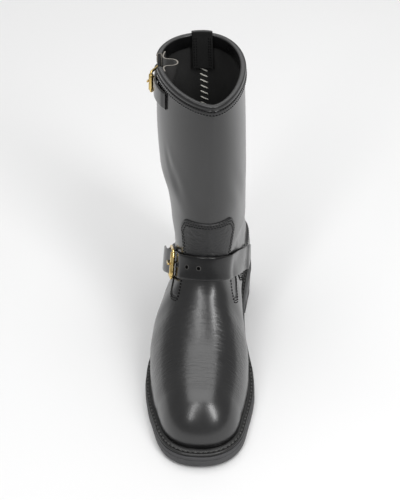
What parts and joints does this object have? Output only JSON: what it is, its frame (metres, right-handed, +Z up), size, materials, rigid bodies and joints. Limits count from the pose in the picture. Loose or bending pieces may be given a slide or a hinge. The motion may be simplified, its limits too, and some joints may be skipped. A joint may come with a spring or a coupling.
{
  "type": "engineer boot",
  "caption": "Tall black leather pull-on boot with a buckled instep strap, a small buckled strap across a slit collar, a shin tab, a stitched welt and a stacked heel.",
  "frame": {"origin": "on the floor face of the heel's top lift, below the middle of the heel", "axes": "+Z up, toe towards -Y, outer side of the foot towards -X, inner side towards +X"},
  "size_m": [0.1121, 0.3111, 0.3075],
  "materials": {
    "sole_rubber": "matte dark grey edge",
    "midsole_rubber": "matte black edge",
    "welt_leather": "black edge with stitches",
    "insole_leather": "plain leather",
    "heel_stack": "stacked and blacked",
    "lift_rubber": "matte",
    "upper_leather": "polished black",
    "trim_leather": "black, slightly duller",
    "tab_leather": "black, finely wrinkled",
    "gusset_leather": "soft matte",
    "pull_leather": "matte black",
    "strap_leather": "polished black with raw edges",
    "brass": "polished brass"
  },
  "bodies": {
    "root": {"outsole": "sole_rubber", "midsole": "midsole_rubber", "welt": "welt_leather", "insole": "insole_leather", "heel": "heel_stack", "top_lift": "lift_rubber", "upper": "upper_leather", "collar_band": "trim_leather", "counter": "upper_leather", "shin_tab": "tab_leather", "gusset": "gusset_leather", "pull_strap": "pull_leather", "instep_strap": "strap_leather", "instep_billet": "strap_leather", "instep_frame": "brass", "instep_roller": "brass", "instep_prong": "brass", "top_strap": "strap_leather", "top_billet": "strap_leather", "top_frame": "brass", "top_roller": "brass", "top_prong": "brass"}
  },
  "joints": []
}
